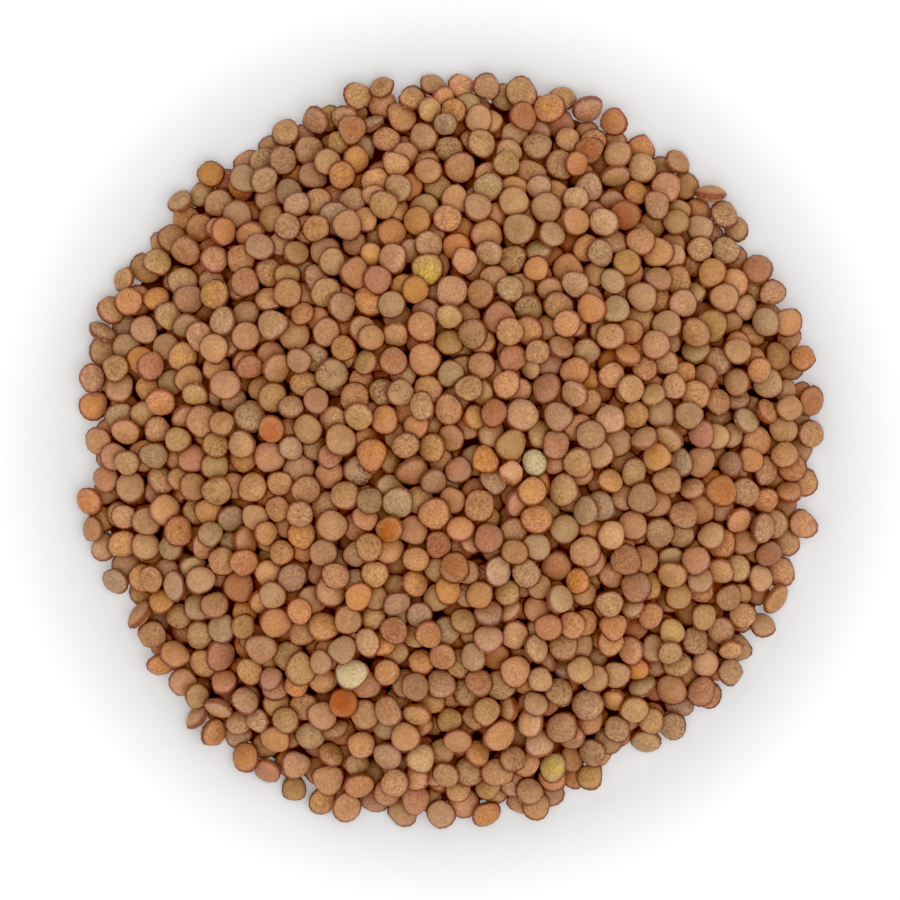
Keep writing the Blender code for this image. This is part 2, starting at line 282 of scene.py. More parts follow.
def chosen_sizes():
    """The sizes set in the panel, freed of the rounding of 32-bit properties."""
    values = bpy.context.scene.lentil_heap_sizes
    return Sizes(*(round(getattr(values, field), SIZE_DECIMALS) for field in Sizes._fields))


def outline(sizes, angle):
    """Distance from the heap's middle to its edge, at an angle from +X."""
    waves = (size * MM * np.cos(count * angle + math.radians(phase)) for count, size, phase in OUTLINE_WAVES)
    return sizes.heap_radius + sum(waves)


def heap_top(sizes, x, y):
    """Height that the heap is filled to: one layer along the edge, then a low dome."""
    layer = 2 * sizes.lentil_radius * sizes.flatness
    edge = outline(sizes, np.arctan2(y, x))
    away = np.hypot(x, y)
    rise = np.clip(1 - (away / (edge - SINGLE_LAYER_WIDTH)) ** DOME_POWER, 0, 1)
    return np.where(away < edge, layer + (sizes.heap_height - layer) * rise, 0)


def frames_about(axes, along):
    """Right-handed frames, as matrices, whose third axis is each of axes."""
    up = axes / np.linalg.norm(axes, axis=1, keepdims=True)
    side = along - (along * up).sum(axis=1, keepdims=True) * up
    side /= np.linalg.norm(side, axis=1, keepdims=True)
    return np.stack([side, np.cross(up, side), up], axis=2)


class Heap:
    """A height field over the table, and the lentils laid on it so far."""

    def __init__(self, sizes):
        self.half = int(math.ceil(FIELD_REACH * sizes.heap_radius / CELL))
        line = np.arange(-self.half, self.half + 1) * CELL
        self.goal = heap_top(sizes, *np.meshgrid(line, line))
        self.height = np.maximum(self.goal - POURED_DEPTH, 0)
        self.owner = np.full(self.height.shape, -1)
        reach = int(math.ceil((sizes.lentil_radius + SPREAD_LIMIT * sizes.radius_spread) / CELL))
        self.window = np.arange(-reach, reach + 1)
        self.lentils = []

    def cell_of(self, x, y):
        """Row and column of the cell at each place."""
        return np.rint(y / CELL).astype(int) + self.half, np.rint(x / CELL).astype(int) + self.half

    def shells(self, x, y, frames, halves):
        """The cells near each lentil, which of them it covers, and its middle and half height there."""
        row, col = self.cell_of(x, y)
        rows, cols = row[:, None] + self.window, col[:, None] + self.window
        dx = ((cols - self.half) * CELL - x[:, None])[:, None, :]
        dy = ((rows - self.half) * CELL - y[:, None])[:, :, None]
        form = (frames * halves**-2.0) @ frames.transpose(0, 2, 1)
        form = (form / form[:, 2:, 2:])[:, :, :, None, None]
        scale = ((frames[:, 2, :] / halves) ** 2).sum(axis=1)[:, None, None]
        lean = form[:, 0, 2] * dx + form[:, 1, 2] * dy
        level = form[:, 0, 0] * dx * dx + 2 * form[:, 0, 1] * dx * dy + form[:, 1, 1] * dy * dy - 1 / scale
        square = lean * lean - level
        return rows, cols, square > 0, -lean, np.sqrt(np.maximum(square, 0))

    def rest_heights(self, x, y, frames, halves):
        """Height of each lentil's middle when it is let down on the heap at that place and tilt."""
        rows, cols, covered, middle, half = self.shells(x, y, frames, halves)
        below = self.height[rows[:, :, None], cols[:, None, :]]
        return np.where(covered, below - middle + half, 0).max(axis=(1, 2))

    def lay(self, place, frame, halves):
        """Adds a lentil at its resting place and raises the height field to its upper side."""
        x, y, z = place
        rows, cols, covered, middle, half = self.shells(np.array([x]), np.array([y]), frame[None], halves)
        cells = np.ix_(rows[0], cols[0])
        top = np.where(covered[0], z + middle[0] + half[0], 0)
        above = top > self.height[cells]
        self.height[cells] = np.where(above, top, self.height[cells])
        self.owner[cells] = np.where(above, len(self.lentils), self.owner[cells])
        self.lentils.append((np.array(place), frame, halves))


def lentil_halves(sizes, draw):
    """The three half sizes of one lentil: across, across, thick."""
    radius = sizes.lentil_radius + sizes.radius_spread * np.clip(draw.normal(), -SPREAD_LIMIT, SPREAD_LIMIT)
    narrow = draw.uniform(NARROWEST_SHARE, 1.0)
    flatness = np.clip(draw.normal(sizes.flatness, FLATNESS_SPREAD), *FLATNESS_RANGE)
    return radius * np.array([1.0, narrow, flatness])


def settle(sizes, heap, draw, x, y, halves, tilt, rounds):
    """Lets a lentil down, then moves it by two draws and turns it by three while its middle sinks."""
    azimuth = draw.uniform(0, 2 * math.pi)
    flat = math.sin(tilt)
    axis = np.array([[flat * math.cos(azimuth), flat * math.sin(azimuth), math.cos(tilt)]])
    frame = frames_about(axis, draw.normal(size=(1, 3)))[0]
    z = heap.rest_heights(np.array([x]), np.array([y]), frame[None], halves)[0]
    step, turn = SETTLE_STEP * halves[0], SETTLE_TURN
    for _ in range(rounds):
        moves = draw.normal(size=(SETTLE_TRIES, 5))
        xs, ys = x + step * moves[:, 0], y + step * moves[:, 1]
        axes = frame[:, 2] + turn * moves[:, 2:]
        frames = frames_about(axes, np.broadcast_to(frame[:, 0], axes.shape))
        zs = heap.rest_heights(xs, ys, frames, halves)
        zs[np.hypot(xs, ys) > outline(sizes, np.arctan2(ys, xs)) - halves[0]] = OUTSIDE
        best = zs.argmin()
        if zs[best] < z - LEAST_DROP:
            x, y, z, frame = xs[best], ys[best], zs[best], frames[best]
        else:
            step, turn = SETTLE_SHRINK * step, SETTLE_SHRINK * turn
    return (x, y, z), frame


def lay_foot_row(sizes, heap, draw):
    """Lentils that rolled out and lie flat along the outline, close together and unevenly far out."""
    angle, out_before, radius_before = 0.0, sizes.heap_radius, 0.0
    while True:
        halves = lentil_halves(sizes, draw)
        out = outline(sizes, angle) - halves[0] - FOOT_UNEVENNESS * math.sqrt(draw.uniform())
        gap = draw.uniform(0, FOOT_GAP) if draw.uniform() < FOOT_GAP_SHARE else LEAST_FOOT_GAP
        apart = radius_before + halves[0] + gap
        along = math.sqrt(max(apart**2 - (out - out_before) ** 2, LEAST_FOOT_STEP**2))
        angle += along / out if heap.lentils else 0.0
        if angle > 2 * math.pi - 2 * halves[0] / out:
            break
        x, y = out * math.cos(angle), out * math.sin(angle)
        heap.lay(*settle(sizes, heap, draw, x, y, halves, FOOT_TILT, 0), halves)
        out_before, radius_before = out, halves[0]


@functools.lru_cache(maxsize=1)
def pour(sizes):
    """The whole heap, filled with lentils until no place is short of its goal height."""
    draw = np.random.default_rng(sizes.pour_seed)
    heap = Heap(sizes)
    lay_foot_row(sizes, heap, draw)
    misses = 0
    while misses < MISSES_TO_STOP:
        angles = draw.uniform(0, 2 * math.pi, SPOTS_COMPARED)
        away = (outline(sizes, angles) - sizes.lentil_radius) * np.sqrt(draw.uniform(0, 1, SPOTS_COMPARED))
        xs, ys = away * np.cos(angles), away * np.sin(angles)
        cells = heap.cell_of(xs, ys)
        shortfall = heap.goal[cells] - heap.height[cells]
        best = shortfall.argmax()
        if shortfall[best] < LEAST_SHORTFALL:
            misses += 1
            continue
        halves = lentil_halves(sizes, draw)
        tilt = abs(draw.normal(0, LANDING_TILT))
        place, frame = settle(sizes, heap, draw, xs[best], ys[best], halves, tilt, SETTLE_ROUNDS)
        if place[2] + halves[2] > heap_top(sizes, *place[:2]) + MOST_OVERSHOOT:
            misses += 1
            continue
        heap.lay(place, frame, halves)
    return heap


def footprint_middle(heap):
    """Middle of the poured heap's footprint, from its lentils' places and radii."""
    places = np.array([place[:2] for place, _, _ in heap.lentils])
    radii = np.array([[halves[0]] for _, _, halves in heap.lentils])
    return ((places - radii).min(axis=0) + (places + radii).max(axis=0)) / 2


# Kinds of seed coat: the share of the lentils that each has, and whether it is speckled, folded or made finer

Kind = namedtuple("Kind", "name share speckled folded fine", defaults=(0.0, False, False, False))

PLAIN_KINDS = (
    Kind("tan", 0.42),
    Kind("olive", 0.17),
    Kind("orange", 0.17),
    Kind("rose", 0.09),
    Kind("dun", 0.07),
    Kind("brick", 0.008),
)
SPECKLED_KIND = Kind("speckled", 0.045, speckled=True)
SHRIVELLED_KIND = Kind("shrivelled", 0.014, folded=True, fine=True)
PALE_KIND = Kind("pale")
YELLOWED_KIND = Kind("yellowed")
HULLED_KIND = Kind("hulled", fine=True)
KINDS = (*PLAIN_KINDS, SPECKLED_KIND, SHRIVELLED_KIND, PALE_KIND, YELLOWED_KIND, HULLED_KIND)
KIND_SEED = 11

# Lentils that catch the eye: the kind, and how far right of and above the heap's middle it lies, in mm
ODD_ONES = (
    ("pale", 14.8, -4.4),
    ("pale", -17.8, -37.6),
    ("yellowed", -5.3, 29.5),
    ("yellowed", 16.8, -48.3),
    ("hulled", 6.6, -5.2),
    ("brick", -8.0, -26.8),
    ("brick", 43.1, -8.1),
    ("brick", 24.0, 47.0),
    ("brick", -16.5, -41.0),
    ("speckled", 2.6, 16.5),
    ("speckled", 11.4, -2.0),
)
# Least share of its face that such a lentil shows
LEAST_SHOWN = 0.8


def shown_shares(heap):
    """The share of each lentil's face that shows from above."""
    seen = np.bincount(heap.owner[heap.owner >= 0], minlength=len(heap.lentils))
    faces = np.array([math.pi * halves[0] * halves[1] for _, _, halves in heap.lentils])
    return seen * CELL**2 / faces


@functools.lru_cache(maxsize=1)
def sorted_lentils(sizes):
    """Numbers of the lentils of each kind, by its name: drawn by share, then the odd ones in their places."""
    heap = pour(sizes)
    draw = np.random.default_rng(KIND_SEED)
    shares = np.array([kind.share for kind in KINDS])
    drawn = draw.choice(len(KINDS), len(heap.lentils), p=shares / shares.sum())
    names = [kind.name for kind in KINDS]
    places = np.array([place[:2] for place, _, _ in heap.lentils]) - footprint_middle(heap)
    hidden = shown_shares(heap) < LEAST_SHOWN
    for name, right, up in ODD_ONES:
        apart = np.hypot(places[:, 0] - right * MM, places[:, 1] - up * MM)
        apart[hidden] = np.inf
        drawn[apart.argmin()] = names.index(name)
        hidden[apart.argmin()] = True
    return {name: np.flatnonzero(drawn == number) for number, name in enumerate(names)}


def seed_form(sides, rings):
    """One lens-shaped seed of radius 1 and half thickness 1, as its points and faces."""
    mesh = bmesh.new()
    bmesh.ops.create_uvsphere(mesh, u_segments=sides, v_segments=rings, radius=1.0)
    points = np.array([vertex.co for vertex in mesh.verts])
    faces = [[vertex.index for vertex in face.verts] for face in mesh.faces]
    mesh.free()
    away = np.minimum(np.hypot(points[:, 0], points[:, 1]), 1)
    points[:, 2] = np.sign(np.round(points[:, 2], RIM_DECIMALS)) * (1 - away**2) ** LENS_POWER
    return points, faces


def press_sides(form, draw):
    """Presses each lentil's sides flat where its neighbours in the pod lay."""
    for _ in range(PRESSED_SIDES):
        angle = draw.uniform(0, 2 * math.pi, (len(form), 1))
        limit = draw.uniform(*PRESSED_RANGE, (len(form), 1))
        beyond = form[:, :, 0] * np.cos(angle) + form[:, :, 1] * np.sin(angle) - limit
        over = PRESSED_ROUNDNESS * np.logaddexp(0, beyond / PRESSED_ROUNDNESS)
        form[:, :, 0] -= over * np.cos(angle)
        form[:, :, 1] -= over * np.sin(angle)


def dent_faces(form, draw):
    """Leans, swells and dents each lentil's two faces."""
    lean = draw.normal(0, FACE_LEAN, (len(form), 2))
    swell = draw.uniform(1 - FACE_SWELL, 1 + FACE_SWELL, (2, len(form), 1))
    depth = draw.uniform(*DENT_RANGE, (len(form), 1)).clip(min=0)
    angle = draw.uniform(0, 2 * math.pi, (len(form), 1))
    out = DENT_REACH * np.sqrt(draw.uniform(0, 1, (len(form), 1)))
    apart = np.hypot(form[:, :, 0] - out * np.cos(angle), form[:, :, 1] - out * np.sin(angle))
    form[:, :, 2] *= np.where(form[:, :, 2] > 0, swell[0], swell[1])
    form[:, :, 2] *= 1 + lean[:, :1] * form[:, :, 0] + lean[:, 1:] * form[:, :, 1]
    form[:, :, 2] *= 1 - depth * np.exp(-((apart / DENT_WIDTH) ** 2))


def fold_coats(form, angles, away, draw):
    """Draws each lentil's coat up in wandering folds from its rim towards its middle."""
    count = draw.integers(*FOLD_COUNTS, (len(form), 1))
    phase = draw.uniform(0, 2 * math.pi, (2, len(form), 1))
    wander = FOLD_WANDER * np.sin(FOLD_BENDS * angles + phase[0] + FOLD_SLANT * away)
    waves = np.sin(count * angles + phase[1] + count * wander / FOLD_BENDS)
    fold = FOLD_HEIGHT * waves * away * (FOLD_END - away)
    form[:, :, 2] += fold * np.sign(form[:, :, 2])
    form[:, :, :2] *= 1 + FOLD_PUSH * (fold * away)[:, :, None]


def cut_facets(form, draw):
    """Gives each hulled lentil the flat facets of its bare, dried seed leaves."""
    for _ in range(FACETS):
        facing = draw.normal(size=(len(form), 3))
        facing /= np.linalg.norm(facing, axis=1, keepdims=True)
        limit = draw.uniform(*FACET_RANGE, (len(form), 1))
        over = np.maximum((form * facing[:, None, :]).sum(axis=2) - limit, 0)
        form -= over[:, :, None] * facing[:, None, :]


def shaped_seeds(heap, kind, numbers, draw):
    """The points of the numbered lentils in their own frames, in metres, each uneven in its own way."""
    sides, rings = (FINE_SIDES, FINE_RINGS) if kind.fine else (SEED_SIDES, SEED_RINGS)
    points, faces = seed_form(sides, rings)
    angles = np.arctan2(points[:, 1], points[:, 0])
    away = np.hypot(points[:, 0], points[:, 1])
    form = np.tile(points, (len(numbers), 1, 1))
    form[:, :, :2] *= FULLNESS
    for waves, size in enumerate(OUTLINE_UNEVENNESS, start=3):
        phase = draw.uniform(0, 2 * math.pi, (len(numbers), 1))
        height = draw.normal(0, size, (len(numbers), 1))
        form[:, :, :2] *= 1 + (height * np.cos(waves * angles + phase) * away**2)[:, :, None]
    press_sides(form, draw)
    dent_faces(form, draw)
    if kind.folded:
        fold_coats(form, angles, away, draw)
    if kind is HULLED_KIND:
        cut_facets(form, draw)
    halves = np.array([heap.lentils[number][2] for number in numbers])
    return form * halves[:, None, :], points, faces


@functools.lru_cache(maxsize=1)
def cover_heights(sizes):
    """The heap's upper surface, smoothed over its lentils by a bell-shaped window without its zero ends."""
    weights = np.hanning(2 * COVER_CELLS + 3)[1:-1]
    field = pour(sizes).height
    for side in (0, 1):
        field = np.apply_along_axis(np.convolve, side, field, weights / weights.sum(), "same")
    return field


def depths_below(sizes, points):
    """How far each point of the heap lies below its smoothed surface, in mm."""
    middle = footprint_middle(pour(sizes))
    cells = pour(sizes).cell_of(points[:, 0] + middle[0], points[:, 1] + middle[1])
    return (cover_heights(sizes)[cells] - points[:, 2]) / MM


def add_vectors(data, name, values):
    """Stores three numbers for each point of a mesh."""
    made = data.attributes.new(name, "FLOAT_VECTOR", "POINT")
    made.data.foreach_set("vector", np.asarray(values, dtype=np.float32).ravel())


def make_lentils(kind, material):
    """One joined mesh of all lentils of a kind, with the attributes that its material reads."""
    sizes = chosen_sizes()
    heap = pour(sizes)
    numbers = sorted_lentils(sizes)[kind.name]
    draw = np.random.default_rng(KINDS.index(kind))
    form, points, faces = shaped_seeds(heap, kind, numbers, draw)
    count, corners = form.shape[:2]
    frames = np.array([heap.lentils[number][1] for number in numbers])
    places = np.array([heap.lentils[number][0] for number in numbers])
    places[:, :2] -= footprint_middle(heap)
    placed = form @ frames.transpose(0, 2, 1) + places[:, None, :]
    placed[:, :, 2] += np.maximum(TABLE_GAP - placed[:, :, 2].min(axis=1), 0)[:, None]
    placed[:, :, 2] -= np.maximum(placed[:, :, 2].max(axis=1) - HIGHEST, 0)[:, None]
    firsts = range(0, count * corners, corners)
    joined = [[corner + first for corner in side] for first in firsts for side in faces]
    data = bpy.data.meshes.new(f"{kind.name}_lentils")
    data.from_pydata(placed.reshape(-1, 3), [], joined)
    data.shade_smooth()
    add_vectors(data, "grain", form / MM + draw.uniform(-PATTERN_SHIFT, PATTERN_SHIFT, (count, 1, 3)))
    add_vectors(data, "own_place", np.tile(points, (count, 1)))
    add_vectors(data, "tint", np.repeat(draw.normal(TINT_MEANS, TINT_SPREADS, (count, 3)), corners, axis=0))
    add_vectors(data, "coat", np.repeat(draw.uniform(0, 1, (count, 3)), corners, axis=0))
    depths = data.attributes.new("depth", "FLOAT", "POINT")
    depths.data.foreach_set("value", depths_below(sizes, placed.reshape(-1, 3)).astype(np.float32))
    put_in_heap(data, material)


def put_in_scene(data):
    """Makes the object that shows a mesh, a light or a camera, and names it after that."""
    made = bpy.data.objects.new(data.name, data)
    bpy.context.scene.collection.objects.link(made)
    return made


def put_in_heap(data, material):
    """Makes a mesh a piece of the heap, with its material and its body, in the solid's place."""
    data.materials.append(material)
    made = put_in_scene(data)
    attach(made, "root")
    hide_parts(HEAP_NODE)


# Materials

# Sockets of a Mix node by number, as those for colours and those for numbers have the same names
FACTOR, COLOUR_A, COLOUR_B, MIXED = 0, 6, 7, 2
NUMBER_A, NUMBER_B, NUMBER = 2, 3, 0
# Settings that many nodes share: a soft step between two values, and mixes of numbers and of colours
SOFT_STEP = {"interpolation_type": "SMOOTHSTEP"}
NUMBERS = {"data_type": "FLOAT"}
COLOURS = {"data_type": "RGBA"}
COLOURS_MULTIPLIED = {"data_type": "RGBA", "blend_type": "MULTIPLY"}

# Real sizes of a seed coat's patterns, in mm. Blotches are soft patches of colour. Grain and streaks are the
# creases that the coat dries in, drawn as coarse as they need to show. Dots and marbling are dark pigment
BLOTCH = 2.4
GRAIN = 0.42
STREAK_WIDTH = 0.30
STREAK_LENGTH = 0.9
DOT_SPACING = 0.9
DOT_RADIUS = 0.085
MARBLING = 0.42
MARBLED_PATCH = 2.1
# As a share of a lentil's radius, where the painted shade on its thin rim begins and its scar's width, and as
# a share of its half thickness the half width of the ridge along its rim
RIM_SHADE_START = 0.76
SCAR_WIDTH = 0.14
SEAM_WIDTH = 0.06
CREASE_HEIGHT = 0.14 * MM

# Noise of each pattern: its scale, how much fine detail it has, and how wavy it is
BLOTCH_NOISE = {"Scale": 1 / BLOTCH, "Detail": 3.0, "Roughness": 0.6}
GRAIN_NOISE = {"Scale": 1 / GRAIN, "Detail": 3.0, "Roughness": 0.65, "Distortion": 0.3}
STREAK_NOISE = {"Scale": 1.0, "Detail": 2.0, "Distortion": 0.6}
MARBLING_NOISE = {"Scale": 1 / MARBLING, "Detail": 2.0, "Roughness": 0.6, "Distortion": 0.4}
PATCH_NOISE = {"Scale": 1 / MARBLED_PATCH, "Detail": 1.0}
# Where each mark begins and where it is full, and how strong it is there. The flanks' colour is stronger on
# some lentils, streaks take over from the grain on some, and shade is full 3 mm below the heap's surface
BLOTCH_STEP = {"From Min": 0.34, "From Max": 0.66}
FLANK_STEP = {"From Min": 0.95, "From Max": 1.55}
FLANK_STRENGTH = {"To Min": 0.5, "To Max": 1.0}
RIM_SHADE_STEP = {"From Min": RIM_SHADE_START, "From Max": 1.0}
SEAM_STEP = {"From Min": 0.5 * SEAM_WIDTH, "From Max": 1.5 * SEAM_WIDTH, "To Min": 0.6, "To Max": 0.0}
SCAR_STEP = {"From Min": 0.6 * SCAR_WIDTH, "From Max": 1.4 * SCAR_WIDTH, "To Min": 0.5, "To Max": 0.0}
MARBLING_STEP = {"From Min": 0.55, "From Max": 0.68}
PATCH_STEP = {"From Min": 0.36, "From Max": 0.56, "To Min": 0.15, "To Max": 0.72}
DOT_EDGE = DOT_RADIUS / DOT_SPACING
DOT_STEP = {"From Min": 0.5 * DOT_EDGE, "From Max": 1.5 * DOT_EDGE, "To Min": 0.7, "To Max": 0.0}
STREAK_SHARE = {"From Min": 0.35, "To Max": 0.45}
SHADE_STEP = {"From Max": 3.0}
HULLED_EDGE_STEP = {"From Min": 0.6, "From Max": 1.0}
HULLED_PAINTED_GLINT_STEP = {"From Min": 0.54, "From Max": 0.66, "To Max": 0.7}
# How much of the tone comes from the blotches, how far they push the flanks in and out, and how much the
# marbling's thickness varies
BLOTCHED_SHARE = 0.6
FLANK_WANDER = 1.3
MARBLING_SPREAD = 0.12
# The creases' mean level, how much more they show on a wrinkled coat, and how they dull its polish
MEAN_CREASE = 0.5
CREASE_CONTRAST = {"From Min": 0.3, "To Min": 1.1, "To Max": 3.2}
CREASE_POLISH = {"From Min": 0.3, "From Max": 0.7, "To Min": 0.60, "To Max": 0.42}
# How the surface shines: the coats, then the bare seed leaves
COAT_SHINE = 0.3
HULLED_ROUGHNESS = 0.34
HULLED_SHINE = 0.5

Coat = namedtuple("Coat", "grain own_place height away tone blush crease hue saturation value depth")


def add_node(tree, kind, settings, inputs):
    """Adds a shader node of a kind with its settings, and sets each named input or links it to a socket."""
    node = tree.nodes.new(f"ShaderNode{kind}")
    for name, value in settings.items():
        setattr(node, name, value)
    for name, value in inputs.items():
        if isinstance(value, bpy.types.NodeSocket):
            tree.links.new(value, node.inputs[name])
        else:
            node.inputs[name].default_value = value
    return node


def new_material(name):
    """An empty material, its tree, and its shader, linked to the output."""
    material = bpy.data.materials.new(name)
    material.use_nodes = True
    tree = material.node_tree
    tree.nodes.clear()
    shader = add_node(tree, "BsdfPrincipled", {}, {})
    add_node(tree, "OutputMaterial", {}, {"Surface": shader.outputs["BSDF"]})
    return material, tree, shader


def paint(name):
    """A colour from the panel, with full alpha."""
    return (*getattr(bpy.context.scene.lentil_coat_colours, name), 1.0)


def read_coat(tree):
    """What the lentils' attributes say: where on its own lentil a place lies, and that lentil's draws."""
    grain, own_place, coat, tint = (
        add_node(tree, "Attribute", {"attribute_name": name}, {}).outputs["Vector"]
        for name in ("grain", "own_place", "coat", "tint")
    )
    depth = add_node(tree, "Attribute", {"attribute_name": "depth"}, {}).outputs["Fac"]
    level = add_node(
        tree, "VectorMath", {"operation": "MULTIPLY"}, {0: own_place, 1: (1.0, 1.0, 0.0)},
    ).outputs["Vector"]
    away = add_node(tree, "VectorMath", {"operation": "LENGTH"}, {0: level}).outputs["Value"]
    up = add_node(tree, "SeparateXYZ", {}, {"Vector": own_place}).outputs["Z"]
    height = add_node(tree, "Math", {"operation": "ABSOLUTE"}, {0: up}).outputs["Value"]
    draws = add_node(tree, "SeparateXYZ", {}, {"Vector": coat}).outputs
    tints = add_node(tree, "SeparateXYZ", {}, {"Vector": tint}).outputs
    return Coat(grain, own_place, height, away, *draws, *tints, depth)


def patchy_coat(tree, coat, kind):
    """A lentil's own tone: a yellower middle that wanders into paler, pinker flanks, in soft blotches."""
    blotches = add_node(tree, "TexNoise", {}, {"Vector": coat.grain, **BLOTCH_NOISE}).outputs["Fac"]
    spread = add_node(tree, "MapRange", SOFT_STEP, {"Value": blotches, **BLOTCH_STEP}).outputs["Result"]
    shade = add_node(
        tree, "Mix", NUMBERS, {FACTOR: BLOTCHED_SHARE, NUMBER_A: coat.tone, NUMBER_B: spread},
    ).outputs[NUMBER]
    middle = add_node(
        tree, "Mix", COLOURS,
        {FACTOR: shade, COLOUR_A: paint(f"{kind.name}_light"), COLOUR_B: paint(f"{kind.name}_dark")},
    ).outputs[MIXED]
    wandering = add_node(
        tree, "Math", {"operation": "MULTIPLY_ADD"}, {0: blotches, 1: FLANK_WANDER, 2: coat.away},
    ).outputs["Value"]
    strength = add_node(tree, "MapRange", {}, {"Value": coat.blush, **FLANK_STRENGTH}).outputs["Result"]
    flank = add_node(
        tree, "MapRange", SOFT_STEP, {"Value": wandering, **FLANK_STEP, "To Max": strength},
    ).outputs["Result"]
    return add_node(
        tree, "Mix", COLOURS,
        {FACTOR: flank, COLOUR_A: middle, COLOUR_B: paint(f"{kind.name}_flank")},
    ).outputs[MIXED]


def rimmed_coat(tree, coat, ground):
    """The coat with painted shade on its thin rim, the fine ridge along it, and the pale scar on it."""
    apart = add_node(
        tree, "VectorMath", {"operation": "DISTANCE"}, {0: coat.own_place, 1: (1.0, 0.0, 0.0)},
    ).outputs["Value"]
    # The rim's dark colour is painted shade; the seam and the scar are the coat's own colours
    for name, place, step in (
        ("rim", coat.away, RIM_SHADE_STEP),
        ("seam", coat.height, SEAM_STEP),
        ("scar", apart, SCAR_STEP),
    ):
        mark = add_node(tree, "MapRange", SOFT_STEP, {"Value": place, **step}).outputs["Result"]
        ground = add_node(
            tree, "Mix", COLOURS, {FACTOR: mark, COLOUR_A: ground, COLOUR_B: paint(name)},
        ).outputs[MIXED]
    return ground


def marbling(tree, coat):
    """Dark marbling of a speckled coat, thick on some lentils and thin on others."""
    fine = add_node(tree, "TexNoise", {}, {"Vector": coat.grain, **MARBLING_NOISE}).outputs["Fac"]
    thick = add_node(
        tree, "Math", {"operation": "MULTIPLY_ADD"}, {0: coat.blush, 1: MARBLING_SPREAD, 2: fine},
    ).outputs["Value"]
    patch = add_node(tree, "TexNoise", {}, {"Vector": coat.grain, **PATCH_NOISE}).outputs["Fac"]
    strength = add_node(tree, "MapRange", SOFT_STEP, {"Value": patch, **PATCH_STEP}).outputs["Result"]
    return add_node(
        tree, "MapRange", SOFT_STEP, {"Value": thick, **MARBLING_STEP, "To Max": strength},
    ).outputs["Result"]


def dots(tree, coat):
    """Small dark dots, none on some lentils and several on others."""
    cells = add_node(tree, "TexVoronoi", {}, {"Vector": coat.grain, "Scale": 1 / DOT_SPACING}).outputs
    inside = add_node(
        tree, "MapRange", SOFT_STEP, {"Value": cells["Distance"], **DOT_STEP},
    ).outputs["Result"]
    drawn = add_node(tree, "SeparateColor", {}, {"Color": cells["Color"]}).outputs["Red"]
    picked = add_node(
        tree, "Math", {"operation": "GREATER_THAN"}, {0: coat.crease, 1: drawn},
    ).outputs["Value"]
    return add_node(tree, "Math", {"operation": "MULTIPLY"}, {0: inside, 1: picked}).outputs["Value"]


def creases(tree, coat, shader):
    """Relief of the coat: fine grain, and on many lentils streaks from the scar to the far side."""
    grain = add_node(tree, "TexNoise", {}, {"Vector": coat.grain, **GRAIN_NOISE}).outputs["Fac"]
    stretched = add_node(
        tree, "VectorMath", {"operation": "MULTIPLY"},
        {0: coat.grain, 1: (1 / STREAK_LENGTH, 1 / STREAK_WIDTH, 1 / STREAK_WIDTH)},
    ).outputs["Vector"]
    streaks = add_node(tree, "TexNoise", {}, {"Vector": stretched, **STREAK_NOISE}).outputs["Fac"]
    share = add_node(tree, "MapRange", {}, {"Value": coat.crease, **STREAK_SHARE}).outputs["Result"]
    relief = add_node(
        tree, "Mix", NUMBERS, {FACTOR: share, NUMBER_A: grain, NUMBER_B: streaks},
    ).outputs[NUMBER]
    bump = add_node(tree, "Bump", {}, {"Height": relief, "Strength": 1.0, "Distance": CREASE_HEIGHT})
    tree.links.new(bump.outputs["Normal"], shader.inputs["Normal"])
    return relief


def seed_coat(kind):
    """Dry seed coat of a lentil: a thin, waxy hull with a satin shine.

    To the eye each lentil is another tan, with painted shade at its thin rim, and fine creases that catch the
    light.
    """
    material, tree, shader = new_material(f"dry_{kind.name}_seed_coat")
    coat = read_coat(tree)
    relief = creases(tree, coat, shader)
    height = add_node(tree, "Math", {"operation": "SUBTRACT"}, {0: relief, 1: MEAN_CREASE}).outputs["Value"]
    contrast = add_node(tree, "MapRange", {}, {"Value": coat.crease, **CREASE_CONTRAST}).outputs["Result"]
    value = add_node(
        tree, "Math", {"operation": "MULTIPLY_ADD"}, {0: height, 1: contrast, 2: coat.value},
    ).outputs["Value"]
    coloured = rimmed_coat(tree, coat, patchy_coat(tree, coat, kind))
    tinted = add_node(
        tree, "HueSaturation", {},
        {"Color": coloured, "Hue": coat.hue, "Saturation": coat.saturation, "Value": value},
    ).outputs["Color"]
    pigment = marbling(tree, coat) if kind.speckled else dots(tree, coat)
    marked = add_node(
        tree, "Mix", COLOURS, {FACTOR: pigment, COLOUR_A: tinted, COLOUR_B: paint("speckle")},
    ).outputs[MIXED]
    deep = add_node(tree, "MapRange", SOFT_STEP, {"Value": coat.depth, **SHADE_STEP}).outputs["Result"]
    shaded = add_node(
        tree, "Mix", COLOURS_MULTIPLIED, {FACTOR: deep, COLOUR_A: marked, COLOUR_B: paint("shade")},
    ).outputs[MIXED]
    tree.links.new(shaded, shader.inputs["Base Color"])
    polish = add_node(tree, "MapRange", {}, {"Value": relief, **CREASE_POLISH}).outputs["Result"]
    tree.links.new(polish, shader.inputs["Roughness"])
    shader.inputs["Specular IOR Level"].default_value = COAT_SHINE
    return material


